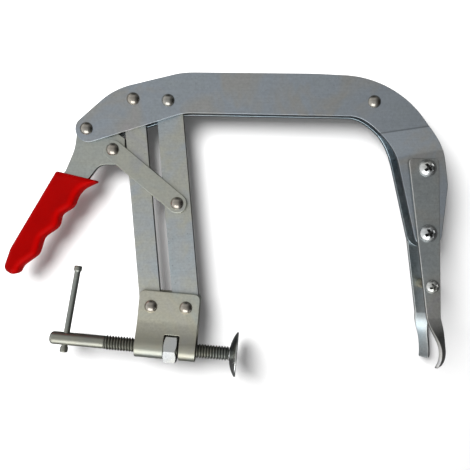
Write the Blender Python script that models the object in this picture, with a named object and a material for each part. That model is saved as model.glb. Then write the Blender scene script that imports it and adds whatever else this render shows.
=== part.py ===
"""Lever-operated locking C clamp of the compressor type.

The clamp lies flat. +X runs along the frame's top bar, +Y runs from the jaw up to the
bar, and +Z stands up from the front cheek. The origin is the centre of the pad's flat
contact face. Lengths are in millimetres and become metres in finish().
"""
import math

import bmesh
import bpy
from mathutils import Matrix, Vector

MM = 0.001
GAP = 0.3                      # room left between pieces that touch

# Layers: half thicknesses and heights measured from the clamp's mid plane.
CORE_HALF = 2.0                # arms and lever plate
CHEEK_IN, CHEEK_OUT = 2.3, 5.3
SHEET_IN, SHEET_OUT = 2.3, 4.8  # the jaw bracket's two flanges
JOGGLE = 4.7                   # how far each cheek steps outwards at the fork
JOGGLE_TOP = (103.6, 156.6)    # a point of the upper bend line
JOGGLE_TILT = math.radians(8.3)
JOGGLE_RUN = 18.5
FINGER_THICK = 2.5
FINGER_IN = CHEEK_OUT + JOGGLE + GAP
FINGER_MID = FINGER_IN + FINGER_THICK / 2

# Pivots of the frame and of the lever linkage.
HANDLE_PIVOT = (-105.3, 159.4)
LINK_PIVOT = (-87.0, 144.8)
LINK_END = (-41.9, 107.0)
SLOT_RUN = (1.6, -2.4)          # play of the link's pin in the right arm
ARM_TOP_LEFT = (-72.6, 180.2)
ARM_SPACING = (24.5, -1.1)
ARM_REACH = (12.3, -145.3)
LEFT_ARM_ASIDE = (-0.7, 0.0)    # the left arm's holes sit off its middle line
SPACER_AT = (96.2, 178.2)

# Screw, pad and bracket, measured along and across the screw's axis.
SPINDLE_TILT = math.radians(-5.3)
THREAD_R = 5.0
SHANK_R = 4.5
THREAD_START, SHANK_START, SPINDLE_END = -6.0, -94.7, -133.0
NOSE_R, NOSE_TIP = 3.0, -1.9
TOMMY_AT = -122.2
TOMMY_LEAN = math.radians(2.7)
TOMMY_DROP = math.radians(6.0)
TOMMY_UP, TOMMY_DOWN, TOMMY_R = 52.0, 9.5, 2.05
TOMMY_KNOB_R, TOMMY_KNOB_LONG = 2.7, 3.6
PAD_R = 15.5
GRIP_HALF = 6.0
BRACKET_LEFT, BRACKET_RIGHT, BRACKET_TOP, BRACKET_CORNER = -72.0, -29.3, 40.2, 4.0
WRAP_IN, WRAP_OUT = 5.3, 7.8
FLARE_TOP, FLARE_RUN = 19.8, 17.6  # where the sheet swells out to clear the spindle
WINDOW = (-51.9, -41.0, 10.4)  # left, right and top of the nut's window
NUT_LEFT, NUT_RIGHT, NUT_FLAT = -51.5, -42.4, 18.0

# Rivets and screws.
RIVET_R, RIVET_HEAD_R, RIVET_HEAD_HIGH = 2.5, 4.5, 2.7
HOLE_R = RIVET_R + GAP
TOGGLE_PIN_R = 2.0
FORK_SCREWS = ((130.5, 130.8), (131.1, 86.1))
FORK_SCREW_R, FORK_HEAD_R, FORK_HEAD_HIGH = 3.0, 6.2, 4.0
CROSS_BOLT = (133.9, 49.7)
CROSS_R, CROSS_HEAD_R, CROSS_HEAD_HIGH = 2.2, 4.8, 3.2
SLEEVE_IN, SLEEVE_OUT = 2.5, 3.3

ROUND = 20                     # sides of a round piece

STEEL = ((0.46, 0.48, 0.50), 0.36, 1.0)
FORK_STEEL = ((0.38, 0.39, 0.39), 0.42, 1.0)
WARM_STEEL = ((0.50, 0.48, 0.44), 0.34, 1.0)
BRIGHT_STEEL = ((0.60, 0.61, 0.61), 0.24, 1.0)
BRASS = ((0.62, 0.50, 0.32), 0.35, 1.0)
RED_VINYL = ((0.45, 0.006, 0.006), 0.28, 0.0)


def clear_scene():
    for thing in list(bpy.data.objects):
        bpy.data.objects.remove(thing, do_unlink=True)


def add(a, b):
    return (a[0] + b[0], a[1] + b[1])


def material(name, look):
    colour, rough, metal = look
    mat = bpy.data.materials.new(name)
    mat.use_nodes = True
    shader = mat.node_tree.nodes["Principled BSDF"]
    shader.inputs["Base Color"].default_value = (*colour, 1.0)
    shader.inputs["Roughness"].default_value = rough
    shader.inputs["Metallic"].default_value = metal
    return mat


def finish(name, bm, look, origin=(0.0, 0.0), tilt=0.0, smooth=False):
    """Turn a bmesh into an object whose origin lies on its joint's axis."""
    local = Matrix.Rotation(-tilt, 2) @ Vector(origin)
    bmesh.ops.translate(bm, verts=bm.verts, vec=(-local.x, -local.y, 0.0))
    bmesh.ops.scale(bm, verts=bm.verts, vec=(MM, MM, MM))
    bmesh.ops.recalc_face_normals(bm, faces=bm.faces)
    mesh = bpy.data.meshes.new(name)
    bm.to_mesh(mesh)
    bm.free()
    mesh.materials.append(material(name, look))
    thing = bpy.data.objects.new(name, mesh)
    bpy.context.scene.collection.objects.link(thing)
    thing.location = (origin[0] * MM, origin[1] * MM, 0.0)
    thing.rotation_euler = (0.0, 0.0, tilt)
    if smooth:
        mesh.shade_smooth()
        mesh.set_sharp_from_angle(angle=math.radians(40))
    return thing


def cut(target, bm, name, tilt=0.0):
    """Cut a solid out of an object with a hidden cutter."""
    cutter = finish(name, bm, STEEL, tilt=tilt)
    cutter.hide_render = True
    cutter.display_type = "WIRE"
    boolean = target.modifiers.new(name, "BOOLEAN")
    boolean.object = cutter
    boolean.solver = "EXACT"


def rounded(corners, sag=0.15):
    """Outline of a polygon with filleted corners (x, y, radius), its chords true to sag."""
    points = []
    for i, (x, y, radius) in enumerate(corners):
        here = Vector((x, y))
        if radius == 0:
            points.append((x, y))
            continue
        back = (Vector(corners[i - 1][:2]) - here).normalized()
        ahead = (Vector(corners[(i + 1) % len(corners)][:2]) - here).normalized()
        half = back.angle(ahead) / 2
        reach = radius / math.tan(half)
        centre = here + (back + ahead).normalized() * (radius / math.sin(half))
        start = here + back * reach - centre
        turn = (here + ahead * reach - centre).angle_signed(start)
        step = 2 * math.acos(max(0.8, 1 - sag / radius))
        count = max(1, math.ceil(abs(turn) / step))
        for k in range(count + 1):
            arm = Matrix.Rotation(turn * k / count, 2) @ start
            points.append((centre.x + arm.x, centre.y + arm.y))
    return points


def circle(centre, radius, count=ROUND):
    turn = 2 * math.pi / count
    return [(centre[0] + radius * math.cos(turn * k), centre[1] + radius * math.sin(turn * k))
            for k in range(count)]


def bezier(part, a, b, c, d):
    rest = 1 - part
    return a * rest ** 3 + 3 * b * part * rest ** 2 + 3 * c * part ** 2 * rest + d * part ** 3


def capsule(start, end, radius, count=9):
    """Outline of a bar with a full round at each end."""
    heading = math.atan2(end[1] - start[1], end[0] - start[0])
    points = []
    for centre, facing in ((start, heading + math.pi / 2), (end, heading - math.pi / 2)):
        for k in range(count):
            angle = facing + math.pi * k / (count - 1)
            points.append((centre[0] + radius * math.cos(angle),
                           centre[1] + radius * math.sin(angle)))
    return points


def plate_mesh(outline, low, high, holes=()):
    """A flat plate with through holes, from its outline between two heights."""
    bm = bmesh.new()
    for loop in (outline, *holes):
        verts = [bm.verts.new((x, y, low)) for x, y in loop]
        for a, b in zip(verts, verts[1:] + verts[:1]):
            bm.edges.new((a, b))
    bmesh.ops.triangle_fill(bm, use_beauty=True, edges=bm.edges[:])
    top = bmesh.ops.extrude_face_region(bm, geom=bm.faces[:])["geom"]
    lifted = [v for v in top if isinstance(v, bmesh.types.BMVert)]
    bmesh.ops.translate(bm, verts=lifted, vec=(0.0, 0.0, high - low))
    return bm


def turned_mesh(profile, count=ROUND):
    """A solid of revolution about Z; the profile (radius, height) starts and ends on it."""
    bm = bmesh.new()
    rings = []
    for radius, height in profile:
        if radius == 0:
            rings.append([bm.verts.new((0.0, 0.0, height))])
        else:
            rings.append([bm.verts.new((x, y, height)) for x, y in circle((0, 0), radius, count)])
    for lower, upper in zip(rings, rings[1:]):
        for k in range(count):
            n = (k + 1) % count
            if len(lower) == 1:
                bm.faces.new((lower[0], upper[k], upper[n]))
            elif len(upper) == 1:
                bm.faces.new((lower[k], upper[0], lower[n]))
            else:
                bm.faces.new((lower[k], upper[k], upper[n], lower[n]))
    return bm


def tube_mesh(inner, outer, low, high):
    return plate_mesh(circle((0, 0), outer), low, high, [circle((0, 0), inner)])


def dome(radius, low, high, steps=3):
    """Profile points of a domed head, from its rim at low to its crown at high."""
    angles = [math.pi / 2 * k / steps for k in range(steps + 1)]
    return [(radius * math.cos(a) if a < 1.5 else 0.0, low + (high - low) * math.sin(a))
            for a in angles]


def moved(bm, centre, height=0.0):
    bmesh.ops.translate(bm, verts=bm.verts, vec=(centre[0], centre[1], height))
    return bm


def rivet(name, centre, seat, origin, look=BRIGHT_STEEL, shank=RIVET_R):
    """A rivet with a domed head on each side; its heads sit just clear of height seat."""
    under, crown = seat + GAP, seat + GAP + RIVET_HEAD_HIGH
    upper = [(shank, under), *dome(RIVET_HEAD_R, under, crown)]
    lower = [(r, -h) for r, h in reversed(upper)]
    finish(name, moved(turned_mesh(lower + upper), centre), look, origin, smooth=True)


def cheek_outline():
    """Outline of one cheek: nose at the lever, top bar, bend and leg."""
    nose = (-103.8, 159.3)
    nose_r = 9.3
    leg_end = (132.1, 86.1)
    leg_r = 9.7
    bottom = [(leg_end[0] + leg_r * math.cos(a), leg_end[1] + leg_r * math.sin(a))
              for a in (math.radians(-8 - 20.5 * k) for k in range(9))]
    left = [(nose[0] + nose_r * math.cos(a), nose[1] + nose_r * math.sin(a))
            for a in (math.radians(286 - 24 * k) for k in range(7))]
    inner = [(107.7, 153.6, 49), (84.8, 168.0, 22), (-38.0, 170.3, 40), (-56.0, 164.3, 60)]
    outer = [(-86.0, 187.2, 50), (-37.5, 198.9, 60), (53.8, 197.9, 269), (110.8, 195.0, 72),
             (142.5, 150.1, 60), (145.9, 119.7, 25)]
    return [*((x, y, 0) for x, y in bottom), *inner, *((x, y, 0) for x, y in left), *outer]


def joggle_depth(point):
    """How far the cheek has stepped outwards at a point of its outline, from 0 to 1."""
    down = Vector((math.sin(JOGGLE_TILT), -math.cos(JOGGLE_TILT)))
    reach = (Vector(point[:2]) - Vector(JOGGLE_TOP)).dot(down)
    return min(1.0, max(0.0, reach / JOGGLE_RUN)) if point[0] > 60 else 0.0


def frame_cheek(name, side):
    holes = [circle(c, HOLE_R) for c in
             (HANDLE_PIVOT, ARM_TOP_LEFT, add(ARM_TOP_LEFT, ARM_SPACING), SPACER_AT)]
    holes += [circle(c, FORK_SCREW_R + GAP) for c in FORK_SCREWS]
    bm = plate_mesh(rounded(cheek_outline()), CHEEK_IN, CHEEK_OUT, holes)
    normal = Vector((math.sin(JOGGLE_TILT), -math.cos(JOGGLE_TILT), 0))
    start = Vector((*JOGGLE_TOP, 0))
    for reach in (0.0, JOGGLE_RUN):
        near = [f for f in bm.faces if f.calc_center_median().x > 60]
        parts = set(near) | {e for f in near for e in f.edges} | {v for f in near for v in f.verts}
        bmesh.ops.bisect_plane(bm, geom=list(parts), plane_co=start + normal * reach,
                               plane_no=normal, dist=1e-5)
    for vert in bm.verts:
        vert.co.z = side * (vert.co.z + JOGGLE * joggle_depth(vert.co))
    finish(name, bm, STEEL)


def finger_sections():
    """The finger's cross-sections from top to tip: (y, middle x, width, middle z, twist)."""
    top, bend, tip = 137.5, 28.0, -5.2
    left_top, left_bend = 118.0, 130.2
    right_top, right_bend = 138.8, 139.9
    corner = 1.8
    sections = []
    for inset in (0.0, 0.15, 0.5, 1.0):
        drop = corner * inset
        trim = corner * (1 - math.sqrt(1 - (1 - inset) ** 2))
        sections.append((top - drop, (left_top + right_top) / 2, right_top - left_top - 2 * trim,
                         FINGER_MID, 0.0))
    for k in range(1, 8):
        part = k / 7
        left = left_top + (left_bend - left_top) * part
        right = right_top + (right_bend - right_top) * part
        y = top - corner + (bend - top + corner) * part
        sections.append((y, (left + right) / 2, right - left, FINGER_MID, 0.0))
    neck_wide = right_bend - left_bend
    for k in range(1, 10):
        part = k / 9
        ease = min(1.0, part / 0.6)
        ease = ease * ease * (3 - 2 * ease)
        x = bezier(part, (left_bend + right_bend) / 2, 136.0, 141.6, 137.4)
        z = FINGER_MID + bezier(part, 0.0, 6.0, 9.1, 1.5)
        width = neck_wide + (7.8 - neck_wide) * ease
        sections.append((bend + (tip - bend) * part, x, width, z, math.radians(50) * ease))
    return sections


def fork_finger(name, side):
    """A strip that holds a flat body and a twisted, bowed prong, bored for its screws."""
    bm = bmesh.new()
    rings = []
    for y, x, width, z, twist in finger_sections():
        ring = []
        for across, through in ((-1, -1), (1, -1), (1, 1), (-1, 1)):
            flat = Vector((across * width / 2, through * FINGER_THICK / 2))
            turned = Matrix.Rotation(-twist, 2) @ flat
            ring.append(bm.verts.new((x + turned.x, y, side * (z + turned.y))))
        rings.append(ring)
    for a, b in zip(rings, rings[1:]):
        for k in range(4):
            n = (k + 1) % 4
            bm.faces.new((a[k], a[n], b[n], b[k]))
    bm.faces.new(rings[0])
    bm.faces.new(rings[-1])
    finger = finish(name, bm, FORK_STEEL)
    holes = [(c, FORK_SCREW_R + GAP) for c in FORK_SCREWS] + [(CROSS_BOLT, CROSS_R + GAP)]
    for k, (centre, radius) in enumerate(holes):
        drill = plate_mesh(circle(centre, radius), FINGER_IN - 2, FINGER_IN + FINGER_THICK + 2)
        for vert in drill.verts:
            vert.co.z *= side
        cut(finger, drill, f"{name}_drill_{k}")


def fork_fasteners():
    """The four finger screws, and the cross bolt with its sleeve and nut."""
    face = FINGER_IN + FINGER_THICK + GAP
    for where, centre in zip(("upper", "lower"), FORK_SCREWS):
        for facing, side in (("front", 1), ("back", -1)):
            profile = [(0.0, 6.6), (FORK_SCREW_R, 6.6), (FORK_SCREW_R, face),
                       *dome(FORK_HEAD_R, face, face + FORK_HEAD_HIGH)]
            profile = [(r, side * h) for r, h in profile]
            screw = moved(turned_mesh(profile), centre)
            finish(f"fork_screw_{facing}_{where}", screw, BRIGHT_STEEL, centre, smooth=True)
    bolt = [(0.0, -face - 5.0), (CROSS_R, -face - 5.0), (CROSS_R, face),
            *dome(CROSS_HEAD_R, face, face + CROSS_HEAD_HIGH)]
    finish("fork_cross_bolt", moved(turned_mesh(bolt), CROSS_BOLT), BRIGHT_STEEL, CROSS_BOLT,
           smooth=True)
    sleeve = tube_mesh(SLEEVE_IN, SLEEVE_OUT, -FINGER_IN + GAP, FINGER_IN - GAP)
    finish("fork_spacer_sleeve", moved(sleeve, CROSS_BOLT), BRASS, CROSS_BOLT, smooth=True)
    nut = plate_mesh(circle((0, 0), 4.6, 6), -face - 4.0, -face, [circle((0, 0), CROSS_R + GAP)])
    finish("fork_cross_nut", moved(nut, CROSS_BOLT), BRIGHT_STEEL, CROSS_BOLT)


def frame():
    frame_cheek("frame_plate_front", 1)
    frame_cheek("frame_plate_back", -1)
    spacer = tube_mesh(HOLE_R, 5.0, -CHEEK_IN + GAP, CHEEK_IN - GAP)
    finish("frame_spacer", moved(spacer, SPACER_AT), STEEL, SPACER_AT, smooth=True)
    rivet("frame_rivet", SPACER_AT, CHEEK_OUT, SPACER_AT)
    rivet("handle_pivot_rivet", HANDLE_PIVOT, CHEEK_OUT, HANDLE_PIVOT)
    rivet("arm_pivot_rivet_left", ARM_TOP_LEFT, CHEEK_OUT, ARM_TOP_LEFT)
    top_right = add(ARM_TOP_LEFT, ARM_SPACING)
    rivet("arm_pivot_rivet_right", top_right, CHEEK_OUT, top_right)
    fork_finger("fork_finger_front", 1)
    fork_finger("fork_finger_back", -1)
    fork_fasteners()


TANG = ((-104.5, 125.2), (-120.9, 130.9), (-150.6, 85.1), (-146.5, 81.5), (-118.5, 113.5))


def pocket_outline():
    """The grip's pocket: the tang's outline, wider by the gap and open at its top."""
    corners = [Vector(c) for c in TANG]
    points = []
    for k, here in enumerate(corners):
        into = (here - corners[k - 1]).normalized()
        away = (corners[(k + 1) % len(corners)] - here).normalized()
        out_a, out_b = Vector((into.y, -into.x)), Vector((away.y, -away.x))
        middle = (out_a + out_b).normalized()
        points.append(here + middle * (GAP / middle.dot(out_a)))
    top = (corners[1] - corners[0]).normalized()
    up = Vector((top.y, -top.x)) * 20.0
    points[1:1] = [points[0] + up, points[1] + up]
    return [tuple(p) for p in points]


def handle():
    """The lever: a plate that carries the links, and a dipped grip on its tang."""
    top_in, top_out, tip_out, tip_in, waist = TANG
    corners = [(-99.0, 167.0, 0), (-112.0, 166.4, 6.0), (-114.6, 145.6, 35), (*top_out, 0),
               (*tip_out, 0), (*tip_in, 0), (*waist, 0), (*top_in, 0), (-97.3, 134.7, 9),
               (-83.0, 134.6, 4), (-79.0, 144.0, 3), (-79.2, 153.0, 1.2), (-85.5, 157.4, 2)]
    holes = [circle(HANDLE_PIVOT, HOLE_R), circle(LINK_PIVOT, HOLE_R)]
    plate = plate_mesh(rounded(corners), -CORE_HALF, CORE_HALF, holes)
    finish("handle_plate", plate, STEEL, HANDLE_PIVOT)
    rivet("link_handle_rivet", LINK_PIVOT, CHEEK_OUT, LINK_PIVOT)
    handle_grip()


def grip_outline():
    """The dipped grip's outline: straight back, rounded butt, four finger waves."""
    corners = [(-127.3, 130.0, 1.5), (-159.6, 75.6, 20), (-164.6, 60.9, 5), (-155.3, 54.6, 5),
               (-152.1, 63.0, 9), (-140.8, 71.1, 8), (-137.1, 83.3, 8), (-126.2, 90.8, 8),
               (-124.6, 99.4, 6), (-115.6, 105.0, 8), (-111.4, 116.3, 16), (-97.6, 122.9, 0.8)]
    return rounded(corners)


def handle_grip():
    grip = finish("handle_grip", plate_mesh(grip_outline(), -GRIP_HALF, GRIP_HALF), RED_VINYL,
                  HANDLE_PIVOT, smooth=True)
    soft = grip.modifiers.new("soft_edges", "BEVEL")
    soft.width = 3.0 * MM
    soft.segments = 2
    soft.limit_method = "ANGLE"
    soft.angle_limit = math.radians(60)
    pocket = plate_mesh(pocket_outline(), -CORE_HALF - GAP, CORE_HALF + GAP)
    cut(grip, pocket, "grip_pocket")


def links():
    """Two links that push the right arm, and the rivet that joins them to it."""
    for facing, side in (("front", 1), ("back", -1)):
        holes = [circle(LINK_PIVOT, HOLE_R), circle(LINK_END, HOLE_R)]
        low, high = sorted((side * CHEEK_IN, side * CHEEK_OUT))
        bar = plate_mesh(capsule(LINK_PIVOT, LINK_END, 6.8), low, high, holes)
        finish(f"link_{facing}", bar, STEEL, LINK_PIVOT)
    rivet("link_arm_rivet", LINK_END, CHEEK_OUT, LINK_END, shank=TOGGLE_PIN_R)


def arms():
    """The two hanging arms; the right one is slotted where the links push it."""
    left_end = add(ARM_TOP_LEFT, ARM_REACH)
    holes = [circle(ARM_TOP_LEFT, HOLE_R), circle(left_end, HOLE_R)]
    outline = capsule(add(ARM_TOP_LEFT, LEFT_ARM_ASIDE), add(left_end, LEFT_ARM_ASIDE), 7.5)
    bar = plate_mesh(outline, -CORE_HALF, CORE_HALF, holes)
    finish("arm_left", bar, STEEL, ARM_TOP_LEFT)
    top = add(ARM_TOP_LEFT, ARM_SPACING)
    end = add(top, ARM_REACH)
    slot = capsule(LINK_END, add(LINK_END, SLOT_RUN), TOGGLE_PIN_R + 0.6, count=7)
    holes = [circle(top, HOLE_R), circle(end, HOLE_R), slot]
    bar = plate_mesh(capsule(top, end, 9.3), -CORE_HALF, CORE_HALF, holes)
    finish("arm_right", bar, STEEL, top)


def bracket_profile():
    """The folded sheet across the spindle: its inner and outer lines of (height, depth)."""
    drops = (0.0, 0.3, 1.2, 2.4, BRACKET_CORNER)
    turns = [math.radians(-90 * k / 5) for k in range(1, 6)]
    flare = [(FLARE_TOP - FLARE_RUN * k / 8, (1 - math.cos(math.pi * k / 8)) / 2) for k in range(9)]
    lines = []
    for flange, wrap in ((SHEET_IN, WRAP_IN), (SHEET_OUT, WRAP_OUT)):
        half = [(BRACKET_TOP - drop, flange) for drop in drops]
        half += [(v, flange + (wrap - flange) * part) for v, part in flare]
        half += [(0.0, wrap)]
        half += [(wrap * math.sin(a), wrap * math.cos(a)) for a in turns]
        lines.append(half + [(v, -z) for v, z in reversed(half[:-1])])
    return lines


def bracket_inset(height):
    """How far the bracket's side edge draws in at its two rounded top corners."""
    over = max(0.0, height - (BRACKET_TOP - BRACKET_CORNER))
    return BRACKET_CORNER - math.sqrt(BRACKET_CORNER ** 2 - over ** 2)


def spindle_bracket(pivot):
    """A sheet folded round the spindle, with rivet holes and a window for the nut."""
    bm = bmesh.new()
    ends = []
    for edge, side in ((BRACKET_LEFT, 1), (BRACKET_RIGHT, -1)):
        ends.append([[bm.verts.new((edge + side * bracket_inset(v), v, z)) for v, z in line]
                     for line in bracket_profile()])
    (in_a, out_a), (in_b, out_b) = ends
    for k in range(len(in_a) - 1):
        bm.faces.new((in_a[k], in_a[k + 1], in_b[k + 1], in_b[k]))
        bm.faces.new((out_a[k], out_b[k], out_b[k + 1], out_a[k + 1]))
        bm.faces.new((in_a[k], out_a[k], out_a[k + 1], in_a[k + 1]))
        bm.faces.new((in_b[k], in_b[k + 1], out_b[k + 1], out_b[k]))
    for k in (0, -1):
        bm.faces.new((in_a[k], in_b[k], out_b[k], out_a[k]))
    sheet = finish("spindle_bracket", bm, WARM_STEEL, pivot, SPINDLE_TILT)
    left, right, top = WINDOW
    corners = [(left, -12, 0), (right, -12, 0), (right, top, 1), (left, top, 1)]
    cut(sheet, plate_mesh(rounded(corners), -12, 12), "nut_window", SPINDLE_TILT)
    for k, centre in enumerate((pivot, add(pivot, (-ARM_SPACING[0], -ARM_SPACING[1])))):
        cut(sheet, plate_mesh(circle(centre, HOLE_R), -12, 12), f"bracket_drill_{k}")


def jaw():
    """The bracket, its nut, and the rivets that hang it on the arms."""
    right = add(add(ARM_TOP_LEFT, ARM_SPACING), ARM_REACH)
    left = add(ARM_TOP_LEFT, ARM_REACH)
    spindle_bracket(right)
    rivet("bracket_rivet_left", left, SHEET_OUT, left)
    rivet("bracket_rivet_right", right, SHEET_OUT, right)
    corner = NUT_FLAT / 2 / math.cos(math.pi / 6)
    nut = plate_mesh(circle((0, 0), corner, 6), NUT_LEFT, NUT_RIGHT,
                     [circle((0, 0), THREAD_R + GAP)])
    finish("spindle_nut", laid_along(nut), BRIGHT_STEEL, tilt=SPINDLE_TILT)


def laid_along(bm):
    """Lay a solid made about Z along the spindle's axis; its +X turns to -Z."""
    bmesh.ops.transform(bm, matrix=Matrix.Rotation(math.pi / 2, 4, "Y"), verts=bm.verts)
    return bm


def spindle():
    tip = 2.4
    profile = [(0.0, SPINDLE_END), (SHANK_R - tip, SPINDLE_END), (SHANK_R - 0.7, SPINDLE_END + 0.7),
               (SHANK_R, SPINDLE_END + tip), (SHANK_R, SHANK_START), (THREAD_R, SHANK_START + 0.6),
               (THREAD_R, THREAD_START - 0.6), (THREAD_R - 0.6, THREAD_START),
               (NOSE_R, THREAD_START), (NOSE_R, NOSE_TIP), (0.0, NOSE_TIP)]
    rod = finish("spindle", laid_along(turned_mesh(profile)), BRIGHT_STEEL, tilt=SPINDLE_TILT,
                 smooth=True)
    drill = turned_mesh([(0.0, -8.0), (2.5, -8.0), (2.5, 8.0), (0.0, 8.0)], 16)
    aim_tommy(drill)
    cut(rod, drill, "tommy_hole", SPINDLE_TILT)


def aim_tommy(bm):
    """Turn a solid made about Z so that it runs along the tommy bar's axis."""
    lean = Matrix.Rotation(TOMMY_LEAN, 4, "Y")
    stand = Matrix.Rotation(-math.pi / 2 - TOMMY_DROP, 4, "X")
    place = Matrix.Translation((TOMMY_AT, 0.0, 0.0))
    bmesh.ops.transform(bm, matrix=place @ stand @ lean, verts=bm.verts)


def tommy_bar():
    knob = TOMMY_UP - TOMMY_KNOB_LONG
    low_knob = TOMMY_DOWN - TOMMY_KNOB_LONG
    profile = [(0.0, -TOMMY_DOWN), (TOMMY_KNOB_R - 0.5, -TOMMY_DOWN),
               (TOMMY_KNOB_R, -TOMMY_DOWN + 0.5), (TOMMY_KNOB_R, -low_knob),
               (TOMMY_R, -low_knob + 0.3), (TOMMY_R, knob - 0.3), (TOMMY_KNOB_R, knob),
               (TOMMY_KNOB_R, TOMMY_UP - 0.5), (TOMMY_KNOB_R - 0.5, TOMMY_UP), (0.0, TOMMY_UP)]
    bar = turned_mesh(profile, 16)
    aim_tommy(bar)
    finish("tommy_bar", bar, BRIGHT_STEEL, tilt=SPINDLE_TILT, smooth=True)


def pad():
    """A dished disc with a flat face, and a socket for the spindle's nose."""
    socket = NOSE_R + GAP
    profile = [(0.0, NOSE_TIP + GAP), (socket, NOSE_TIP + GAP), (socket, THREAD_START + GAP),
               (5.0, THREAD_START + GAP), (7.3, -4.5), (10.3, -3.3), (12.7, -2.2), (14.4, -1.5),
               (PAD_R - 0.3, -1.2), (PAD_R, -0.8), (PAD_R - 0.4, 0.0), (0.0, 0.0)]
    disc = laid_along(turned_mesh(profile, 32))
    finish("pad", disc, BRIGHT_STEEL, tilt=SPINDLE_TILT, smooth=True)


def main():
    clear_scene()
    frame()
    handle()
    links()
    arms()
    jaw()
    spindle()
    tommy_bar()
    pad()


main()
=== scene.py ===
"""Looks of the lever-operated locking C clamp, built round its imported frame.

Lengths of the pieces are in millimetres, in the frame's own axes, and become metres when a piece
is made. Pieces of the screw and its bracket are laid out along the screw's axis (u), across it (v)
and out of the plates (z), then tilted into place. The camera and the lights are in metres.
"""
import math

import bmesh
import bpy
import numpy as np
from mathutils import Matrix, Vector
from mathutils.geometry import delaunay_2d_cdt


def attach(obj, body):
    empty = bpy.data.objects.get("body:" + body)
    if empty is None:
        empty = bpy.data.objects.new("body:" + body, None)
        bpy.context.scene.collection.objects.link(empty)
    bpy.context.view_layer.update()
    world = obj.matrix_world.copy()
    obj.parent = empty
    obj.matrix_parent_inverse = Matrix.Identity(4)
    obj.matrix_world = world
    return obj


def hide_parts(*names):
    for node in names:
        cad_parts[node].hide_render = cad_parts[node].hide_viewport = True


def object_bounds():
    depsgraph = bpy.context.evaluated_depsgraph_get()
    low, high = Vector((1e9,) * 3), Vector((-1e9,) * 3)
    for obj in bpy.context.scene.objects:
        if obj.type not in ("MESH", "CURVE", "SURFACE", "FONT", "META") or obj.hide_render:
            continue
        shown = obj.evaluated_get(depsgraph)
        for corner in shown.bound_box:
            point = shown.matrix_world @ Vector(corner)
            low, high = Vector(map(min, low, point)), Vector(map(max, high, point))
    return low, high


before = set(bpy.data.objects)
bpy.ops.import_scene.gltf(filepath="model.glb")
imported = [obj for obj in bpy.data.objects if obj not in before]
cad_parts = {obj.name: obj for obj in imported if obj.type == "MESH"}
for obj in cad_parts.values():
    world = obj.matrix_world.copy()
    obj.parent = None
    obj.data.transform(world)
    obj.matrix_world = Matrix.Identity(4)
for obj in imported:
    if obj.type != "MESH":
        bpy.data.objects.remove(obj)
cad_box = [list(corner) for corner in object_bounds()]

MM = 0.001
TAU = 2 * math.pi

# Layers, pivots and sizes, as in the solids.
CORE_HALF = 2.0
CHEEK_IN, CHEEK_OUT = 2.3, 5.3
JOGGLE, JOGGLE_TOP, JOGGLE_TILT, JOGGLE_RUN = 4.7, (103.6, 156.6), math.radians(8.3), 18.5
JOGGLE_LEFT = 60.0  # nothing to the left of this is bent
FINGER_THICK = 2.5
FINGER_IN = CHEEK_OUT + JOGGLE + 0.3
FINGER_MID = FINGER_IN + FINGER_THICK / 2
HANDLE_PIVOT = (-105.3, 159.4)
LINK_PIVOT, LINK_END = (-87.0, 144.8), (-41.9, 107.0)
ARM_TOP_LEFT, ARM_TOP_RIGHT = (-72.6, 180.2), (-48.1, 179.1)
ARM_END_LEFT, ARM_END_RIGHT = (-60.3, 34.9), (-35.8, 33.8)
SPACER_AT = (96.2, 178.2)
FORK_SCREWS = ((130.5, 130.8), (131.1, 86.1))
CROSS_BOLT = (133.9, 49.7)
SPINDLE_TILT = math.radians(-5.3)
THREAD_R, ROOT_R, SHANK_R, PITCH = 5.0, 3.9, 4.5, 2.0
THREAD_START, SHANK_START, SPINDLE_END = -6.0, -94.7, -133.0
TOMMY_AT, TOMMY_LEAN, TOMMY_DROP = -122.2, math.radians(2.7), math.radians(6.0)
PAD_R = 15.5
GRIP_HALF, GRIP_ROUND, GRIP_RIM = 6.0, 4.6, 2.2  # half its thickness, its rounding, half its rim
# The grip's finger side, facing this way, gets a painted highlight.
GRIP_PAINTED_BRIGHT_SIDE = Vector((0.77, -0.64, 0.0))  # the way the grip's finger side faces
RIVET_HEAD_R, RIVET_HEAD_HIGH = 4.5, 2.7
ARM_LEFT_R, ARM_RIGHT_R, LINK_R = 7.5, 9.3, 6.8
BRACKET_LEFT, BRACKET_RIGHT, BRACKET_TOP, BRACKET_HALF = -72.0, -29.3, 40.2, 1.25
FLARE_TOP, FLARE_RUN = 19.8, 17.6  # where the bracket's sheet swells out to clear the screw
FOLD_MID, FOLD_R = 3.55, 6.55  # middle of the bracket's sheet at its top, and of its fold
WINDOW_LEFT, WINDOW_RIGHT, WINDOW_DROP = -51.9, -41.0, 10.4
NUT_LEFT, NUT_RIGHT, NUT_FLAT = -51.5, -42.4, 18.0

# The camera: its focal length and shift are in widths of the picture.
FOCAL, SHIFT_X, SHIFT_Y = 48 / 47, -3 / 94, -1 / 47
SENSOR = 36.0
EYE = (0.0092, 0.0919, 0.341)

# The room's brightness along Y and along X, and the strengths and places of its lights.
ROOM_Y = ((-1.0, 0.42), (-0.9, 0.72), (-0.5, 0.70), (-0.2, 0.58), (0.0, 0.54), (0.26, 0.46), (0.42, 0.51),
          (0.62, 0.60), (0.82, 0.44), (0.96, 0.08), (1.0, 0.05))
ROOM_X = ((-1.0, 1.7), (-0.75, 1.4), (-0.4, 1.08), (0.0, 1.0), (0.34, 0.78), (0.6, 0.34), (1.0, 0.05))
ROOM_BRIGHT, ROOM_DIFFUSE = 1.0, 0.62
KEY_POWER, KEY_AT, KEY_SIZE = 9.4, (-0.29, 0.36, 0.60), 0.54
WINDOW_POWER, WINDOW_AT, WINDOW_SIZE = 5.2, (-0.20, -0.74, 0.60), (1.1, 0.72)
LIT_SPOT = (0.0, 0.09, 0.0)
BACKDROP = (0.88, 0.88, 0.88)
FLOOR_GAP, FLOOR_REACH = 0.0002, 3.0

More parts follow.
